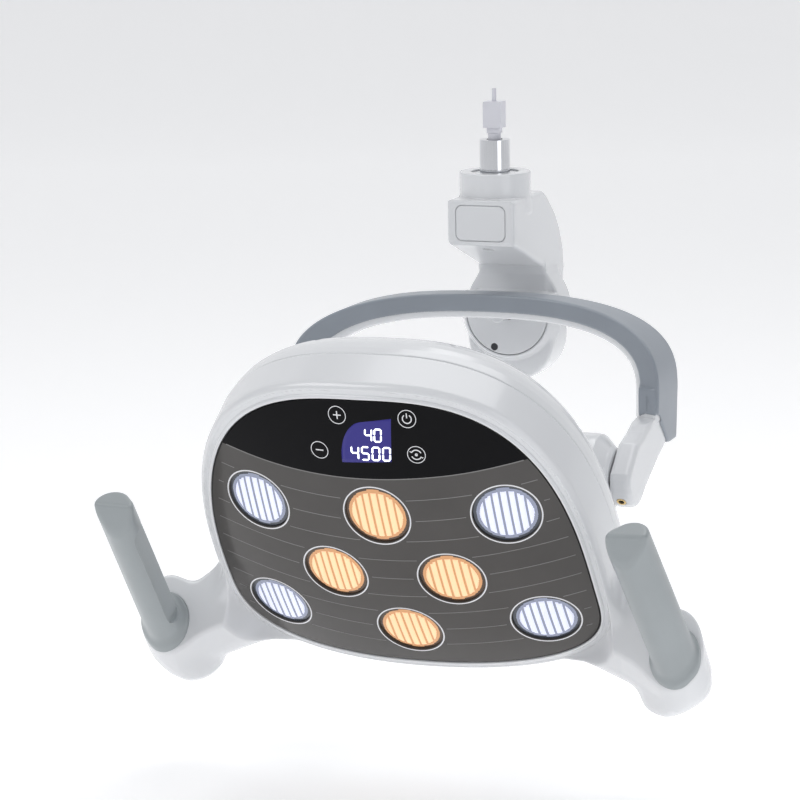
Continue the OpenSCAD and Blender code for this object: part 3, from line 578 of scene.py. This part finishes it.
def smooth_smile(x, drop=0.0):
    """The arc, softened between its points."""
    xs, zs = zip(*SMILE)
    spread = [float(np.interp(x + d, xs, zs)) - drop for d in range(-16, 17, 4)]
    return sum(spread) / len(spread)


def panel_mesh():
    points, edges = [], []

    def loop(pts, closed=True):
        start = len(points)
        points.extend(Vector(p) for p in pts)
        n = len(pts)
        edges.extend((start + i, start + (i + 1) % n) for i in range(n if closed else n - 1))

    loop([on_outline(-0.2, (i + 0.5) * 360 / 240) for i in range(240)])
    for lx, lz, _ in LAMPS:
        turns = np.linspace(0, 2 * math.pi, 72, endpoint=False)
        loop([(lx + LAMP_R * math.cos(t), lz + LAMP_R * math.sin(t)) for t in turns])
    loop([(x, smooth_smile(x)) for x in np.linspace(-139, 139, 120)], closed=False)
    for x in np.arange(-132, 133, 11.0):
        for z in np.arange(-88, 143, 11.0):
            gx, gz = x + 0.37, z + 0.21
            clear = all(math.hypot(gx - lx, gz - lz) > LAMP_R + 3 for lx, lz, _ in LAMPS)
            if clear and head_g(np.float64(gx), np.float64(gz)) < -4 and abs(gz - smooth_smile(gx)) > 3:
                points.append(Vector((gx, gz)))
    found = delaunay_2d_cdt(points, edges, [], 0, 1e-4)
    flat, tris = found[0], found[2]
    keep = []
    for t in tris:
        cx, cz = sum(flat[i][0] for i in t) / 3, sum(flat[i][1] for i in t) / 3
        if head_g(np.float64(cx), np.float64(cz)) > -0.15:
            continue
        if any(math.hypot(cx - lx, cz - lz) < LAMP_R - 0.01 for lx, lz, _ in LAMPS):
            continue
        area = ((flat[t[1]][0] - flat[t[0]][0]) * (flat[t[2]][1] - flat[t[0]][1])
                - (flat[t[2]][0] - flat[t[0]][0]) * (flat[t[1]][1] - flat[t[0]][1]))
        keep.append((tuple(t) if area > 0 else (t[0], t[2], t[1]), cz > smooth_smile(cx)))
    used = sorted({i for t, _ in keep for i in t})
    new = {old: i for i, old in enumerate(used)}
    front, back = [], []
    for i in used:
        x, z = flat[i]
        y = float(sag(np.float64(x), np.float64(z)))
        n = np.array([x, y - PANEL_R, z]) / PANEL_R
        front.append((x, y, z))
        back.append(tuple(np.array((x, y, z)) - n * (GLASS_T - 0.1)))
    count = len(used)
    faces = [tuple(new[i] for i in t) for t, _ in keep]
    tone = [1 if dark else 0 for _, dark in keep]
    seen = {}
    for f in faces:
        for a, b in zip(f, f[1:] + f[:1]):
            seen[(a, b)] = seen.get((a, b), 0) + 1
    rims = [(a, b) for (a, b) in seen if (b, a) not in seen]
    backs = [tuple(count + i for i in reversed(f)) for f in faces]
    sides = [(b, a, a + count, b + count) for a, b in rims]
    mesh_faces = faces + backs + sides
    obj = piece("panel_glass", front + back, mesh_faces, "panel_smoke", "head", HEAD, mats=["gloss_black"],
                face_mats=tone + tone + [0] * len(sides), stands_for=["lens_panel"])
    turn = np.array(HEAD.to_3x3())
    loops = []
    for poly in obj.data.polygons:
        for v in poly.vertices:
            if poly.index < len(faces):
                p = np.array(front[v])
                loops.append(tuple(turn @ ((p - np.array([0, PANEL_R, 0])) / PANEL_R)))
            else:
                loops.append(tuple(poly.normal))
    obj.data.normals_split_custom_set(loops)


panel_mesh()


def lift(x, z, up):
    return (x, float(sag(np.float64(x), np.float64(z))) - up, z)


def ribbon(name, paths, width, mat, up=0.06, closed=False):
    """Flat printed lines that follow the panel, as thin closed strips."""
    verts, faces = [], []
    for path in paths:
        n, start = len(path), len(verts)
        for i, (x, z) in enumerate(path):
            px, pz = path[i - 1] if closed or i else path[i]
            qx, qz = path[(i + 1) % n] if closed or i < n - 1 else path[i]
            length = math.hypot(qx - px, qz - pz) or 1
            nx, nz = -(qz - pz) / length * width / 2, (qx - px) / length * width / 2
            verts += [lift(x + nx, z + nz, up), lift(x - nx, z - nz, up),
                      lift(x - nx, z - nz, -0.2), lift(x + nx, z + nz, -0.2)]
        for i in range(n if closed else n - 1):
            a, b = start + i * 4, start + ((i + 1) % n) * 4
            faces += [(a + k, b + k, b + (k + 1) % 4, a + (k + 1) % 4) for k in range(4)]
        if not closed:
            e = start + (n - 1) * 4
            faces += [(start, start + 1, start + 2, start + 3), (e + 3, e + 2, e + 1, e)]
    return piece(name, verts, faces, mat, "head", HEAD, slot="panel_smoke", smooth=False)


def circle(x, z, r, n=72, a0=0.0, a1=360.0):
    full = abs(a1 - a0) >= 360
    steps = np.linspace(math.radians(a0), math.radians(a1), n, endpoint=not full)
    return [(x + r * math.cos(t), z + r * math.sin(t)) for t in steps]


ribbon("lamp_rings", [circle(x, z, LAMP_R + 1.1) for x, z, _ in LAMPS], 0.95, "printed", closed=True)
on_panel = [(x, smooth_smile(x)) for x in np.linspace(-134, 134, 136)]
on_panel = [p for p in on_panel if head_g(np.float64(p[0]), np.float64(p[1])) < -0.9]
ribbon("smile_line", [on_panel], 0.7, "printed_dim")
faint = []
for k in range(1, 10):
    run = []
    for x in np.linspace(-134, 134, 270):
        z = smooth_smile(x, 17.3 * k)
        free = (all(math.hypot(x - lx, z - lz) > LAMP_R + 4 for lx, lz, _ in LAMPS)
                and head_g(np.float64(x), np.float64(z)) < -4)
        if free:
            run.append((x, z))
            continue
        if len(run) > 4:
            faint.append(run)
        run = []
    if len(run) > 4:
        faint.append(run)
ribbon("faint_lines", faint, 0.55, "printed_dim", up=0.05)

# ---- touch icons, display and digits ----
ICON_R = 6.2
PLUS, MINUS, POWER, SENSOR = (-16.5, 132.9), (-33.4, 105.7), (33.4, 131.8), (36.6, 105.7)
ribbon("icon_rings", [circle(x, z, ICON_R, 48) for x, z in (PLUS, MINUS, POWER, SENSOR)], 0.5, "printed", closed=True)
marks = [[(PLUS[0] - 2.8, PLUS[1]), (PLUS[0] + 2.8, PLUS[1])],
         [(PLUS[0], PLUS[1] - 2.8), (PLUS[0], PLUS[1] + 2.8)],
         [(MINUS[0] - 2.8, MINUS[1]), (MINUS[0] + 2.8, MINUS[1])],
         circle(*POWER, 3.1, 30, 125, 415), [(POWER[0], POWER[1] + 0.6), (POWER[0], POWER[1] + 4)],
         circle(*SENSOR, 3.5, 16, 20, 150), circle(*SENSOR, 3.5, 16, 200, 330), circle(*SENSOR, 0.7, 10, 0, 350)]
for a in (150, 330):
    t = math.radians(a)
    hx, hz = SENSOR[0] + 3.5 * math.cos(t), SENSOR[1] + 3.5 * math.sin(t)
    marks.append([(hx + 1.6 * math.cos(t), hz + 1.6 * math.sin(t)), (hx, hz),
                  (hx + 1.5 * math.cos(t - 1.6), hz + 1.5 * math.sin(t - 1.6))])
ribbon("icon_marks", marks, 0.75, "printed", up=0.07)


def patch(name, outlines, mat, up, slot, deep=0.25):
    """Thin solid plates with the given outlines, lying on the panel."""
    verts, faces = [], []
    for outline in outlines:
        n, s = len(outline), len(verts)
        verts += [lift(x, z, up) for x, z in outline] + [lift(x, z, up - deep) for x, z in outline]
        faces += [tuple(s + i for i in range(n)), tuple(s + n + i for i in reversed(range(n)))]
        faces += [(s + (i + 1) % n, s + i, s + n + i, s + n + (i + 1) % n) for i in range(n)]
    return piece(name, verts, faces, mat, "head", HEAD, slot=slot, smooth=False)


def sheet_patch(name, left, right, mat, up, slot, rows=14, columns=12):
    """Curved plate between a left and a right edge, each a list of points going up."""
    verts = []
    for level in (up, up - 0.3):
        for i in range(rows + 1):
            t = i / rows
            a = [float(np.interp(t, np.linspace(0, 1, len(left)), [p[k] for p in left])) for k in (0, 1)]
            b = [float(np.interp(t, np.linspace(0, 1, len(right)), [p[k] for p in right])) for k in (0, 1)]
            for j in range(columns + 1):
                w = j / columns
                verts.append(lift(a[0] + (b[0] - a[0]) * w, a[1] + (b[1] - a[1]) * w, level))
    faces, n, half = [], columns + 1, (rows + 1) * (columns + 1)
    for i in range(rows):
        for j in range(columns):
            a = i * n + j
            faces.append((a, a + 1, a + n + 1, a + n))
            faces.append((half + a, half + a + n, half + a + n + 1, half + a + 1))
    ring = [j for j in range(n)] + [i * n + columns for i in range(1, rows + 1)]
    ring += [rows * n + j for j in range(columns - 1, -1, -1)] + [i * n for i in range(rows - 1, 0, -1)]
    faces += [(b, a, a + half, b + half) for a, b in zip(ring, ring[1:] + ring[:1])]
    return piece(name, verts, faces, mat, "head", HEAD, slot=slot)


left_edge = [(-17.7 + 19.5 * (1 - math.cos(t)), 98 + 31 * math.sin(t)) for t in np.linspace(0, math.pi / 2, 10)]
sheet_patch("display_window", left_edge, [(18.2, 100.1), (22.2, 131.8)], "display", 0.05, "display")
SEGMENTS = {"0": "abcdef", "4": "bcfg", "5": "acdfg"}


def digit(ch, cx, cz, h):
    """Slanted seven-segment figure as small hexagonal bars."""
    w, t, lean = h * 0.52, h * 0.13, 0.13
    ends = {"a": ((-1, 1), (1, 1)), "b": ((1, 1), (1, 0)), "c": ((1, 0), (1, -1)), "d": ((-1, -1), (1, -1)),
            "e": ((-1, 0), (-1, -1)), "f": ((-1, 1), (-1, 0)), "g": ((-1, 0), (1, 0))}
    bars = []
    for key in SEGMENTS[ch]:
        (ax, az), (bx, bz) = ends[key]
        a = np.array([ax * w / 2, az * h / 2])
        b = np.array([bx * w / 2, bz * h / 2])
        along = (b - a) / np.linalg.norm(b - a)
        a, b = a + along * t * 0.62, b - along * t * 0.62
        across = np.array([-along[1], along[0]]) * t / 2
        tip = along * t * 0.5
        ring = [a - tip, a - across, b - across, b + tip, b + across, a + across]
        if sum(p[0] * q[1] - q[0] * p[1] for p, q in zip(ring, ring[1:] + ring[:1])) < 0:
            ring.reverse()
        bars.append([(cx + p[0] + lean * p[1], cz + p[1]) for p in ring])
    return bars


bars = digit("4", 4.4, 119.6, 9) + digit("0", 11.2, 119.6, 9)
for i, ch in enumerate("4500"):
    bars += digit(ch, -7.2 + i * 7.6, 105.9, 9.6)
patch("display_digits", bars, "digits", 0.12, "display", deep=0.07)


# ---- fluted lenses ----
FLUTES, PITCH = 7, 5.5


def fluted(kind, nodes):
    """Lens discs just behind the panel, with rounded vertical flutes that carry the light."""
    verts, faces, tones = [], [], []
    for lx, lz, lamp_kind in LAMPS:
        if lamp_kind != kind:
            continue
        r = LAMP_R - 0.05
        xs = np.linspace(-r, r, 113)
        rows = 49
        start = len(verts)
        for x in xs:
            half = math.sqrt(max(r * r - x * x, 0.01))
            place = (x / PITCH + 0.5) % 1 - 0.5
            lit = abs(x) < PITCH * (FLUTES / 2)
            ridge = math.sqrt(max(1 - (place / 0.40) ** 2, 0)) if lit and abs(place) < 0.40 else 0
            for j in range(rows):
                t = -1 + 2 * j / (rows - 1)
                z = t * half
                inside = min(1, max(0, (r * 0.83 - math.hypot(x, z)) / 1.6))
                y = sag(np.float64(lx + x), np.float64(lz + z)) + 1.6 - 1.0 * ridge * inside
                verts.append((lx + x, float(y), lz + z))
        for i in range(len(xs) - 1):
            for j in range(rows - 1):
                a = start + i * rows + j
                faces.append((a, a + rows, a + rows + 1, a + 1))
                xm = (xs[i] + xs[i + 1]) / 2
                zm = (verts[a][2] + verts[a + rows + 1][2]) / 2 - lz
                place = abs((xm / PITCH + 0.5) % 1 - 0.5)
                out = math.hypot(xm, zm) / r
                tones.append(2 if out > 0.90 else 1 if place < 0.34 and out < 0.80 else 0)
        back = len(verts)
        ring = [start + j for j in range(rows)]
        ring += [start + i * rows + rows - 1 for i in range(1, len(xs))]
        ring += [start + (len(xs) - 1) * rows + j for j in range(rows - 2, -1, -1)]
        ring += [start + i * rows for i in range(len(xs) - 2, 0, -1)]
        verts += [(verts[i][0], verts[i][1] + 1.6, verts[i][2]) for i in ring]
        n = len(ring)
        faces += [(ring[k], ring[(k + 1) % n], back + (k + 1) % n, back + k) for k in range(n)]
        faces.append(tuple(back + k for k in range(n)))
        tones += [2] * (n + 1)
    return piece(kind + "_fluted", verts, faces, kind + "_lens", "head", HEAD, mats=[kind + "_led", kind + "_rim"],
                 face_mats=tones, stands_for=nodes)


fluted("cool", ["cool_lenses"])
fluted("warm", ["warm_lenses"])


# ---- handles ----
def handle_field(sign):
    def field(x, y, z):
        up, across, fore = handle_line(x, y, z)
        # the outer edge stays straight, the inner one is hollow low down and full at the top
        r = np.interp(up, [0, 30, 60, 100, 130, 160, 181], [12.6, 12.7, 12.8, 12.8, 12.7, 12.6, 12.4])
        a, b = across + (r - GRIP_R), fore
        major, minor = (a + b) * math.sqrt(0.5), (a - b) * math.sqrt(0.5)
        shaft = np.hypot(np.maximum(np.abs(major) - OVAL, 0), minor) - r
        foot = np.hypot(across - FOOT_SHIFT[0], fore - FOOT_SHIFT[1]) - FOOT_R
        section = smin(shaft, smax(foot, above_rim(y, z) - 1.2, 2), 9)
        top_front = (up - GRIP_LEN - (fore + 1) * math.tan(math.radians(50))) * math.cos(math.radians(50))
        top_back = (up - GRIP_LEN + (fore + 1) * math.tan(math.radians(16))) * math.cos(math.radians(16))
        body = smax(smax(section, smax(top_front, top_back, 2), 3), 0.2 - up, 2)
        inset = smax(smax(-across - 30, across + 11.4, 0.5), smax(np.abs(fore + 1) - 9, np.abs(up - 92) - 52, 8), 0.8)
        return smax(body, -inset, 0.5) + np.maximum(-sign * x, 0)
    return field


for sign, side in ((1, "right"), (-1, "left")):
    span = sorted((sign * 160, sign * 212))
    sculpt("grip_" + side, handle_field(sign), (span[0], -42, -97), (span[1], 30, 94), "grip_grey", "head",
           HEAD, step=0.72, stands_for=["handle_" + side])

# ---- stage ----
low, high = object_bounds()


def stage_mesh(name, verts, faces, mat):
    mesh = bpy.data.meshes.new(name)
    mesh.from_pydata(verts, [], faces)
    mesh.materials.append(mat)
    mesh.polygons.foreach_set("use_smooth", [True] * len(mesh.polygons))
    obj = bpy.data.objects.new(name, mesh)
    bpy.context.scene.collection.objects.link(obj)
    return obj


floor_z, bend, far, wide = low.z - 0.06, 1.6, 5.2, 11.0
sweep = [(-6.0, 0.0)] + [(far - bend + bend * math.sin(a), bend - bend * math.cos(a))
                         for a in np.linspace(0, math.pi / 2, 24)] + [(far, 9.0)]
sweep_turn = Matrix.Rotation(math.radians(21.2), 4, "Z")
verts = [tuple(sweep_turn @ Vector((s * wide, y, floor_z + z))) for y, z in sweep for s in (-1, 1)]
faces = [(2 * i, 2 * i + 1, 2 * i + 3, 2 * i + 2) for i in range(len(sweep) - 1)]
floor_mat = shade("pale_floor", (0.93, 0.93, 0.935), 0.7, grain=0.02, vary=0.004, emission=(1, 1, 1), strength=0.34)
stage_mesh("floor", verts, faces, floor_mat)

centre = Vector((0, -0.17, -0.20))


def softbox(name, offset, size, power, color=(1, 1, 1)):
    light = bpy.data.lights.new(name, "AREA")
    light.shape, light.size, light.size_y = "RECTANGLE", size[0], size[1]
    light.energy, light.color = power, color
    obj = bpy.data.objects.new(name, light)
    bpy.context.scene.collection.objects.link(obj)
    obj.location = centre + Vector(offset)
    obj.rotation_mode = "QUATERNION"
    obj.rotation_quaternion = (-Vector(offset)).to_track_quat("-Z", "Y")


softbox("key", (-1.3, -1.5, 1.7), (1.3, 1.3), 17)
softbox("fill", (1.9, -1.2, 0.6), (1.2, 1.6), 7, (0.95, 0.97, 1.0))
softbox("top", (0.2, 0.5, 2.0), (1.8, 1.4), 17)
softbox("under", (0.2, -1.5, -1.0), (1.4, 0.7), 2)
world = bpy.data.worlds.new("studio")
world.use_nodes = True
world.node_tree.nodes["Background"].inputs["Color"].default_value = (0.93, 0.95, 1.0, 1)
world.node_tree.nodes["Background"].inputs["Strength"].default_value = 0.30
bpy.context.scene.world = world
bpy.context.scene.view_settings.view_transform = "Standard"

camera = bpy.data.cameras.new("camera")
camera.lens, camera.sensor_width = 189, 36
camera.clip_start, camera.clip_end = 0.1, 30
eye = bpy.data.objects.new("camera", camera)
bpy.context.scene.collection.objects.link(eye)
RIGHT, UP, BACK = (0.93326, 0.35877, -0.01719), (-0.04589, 0.16658, 0.98496), (0.35624, -0.91844, 0.17193)
eye.matrix_world = Matrix.Translation((1.0277, -2.848, 0.3608)) @ Matrix((RIGHT, UP, BACK)).transposed().to_4x4()
bpy.context.scene.camera = eye
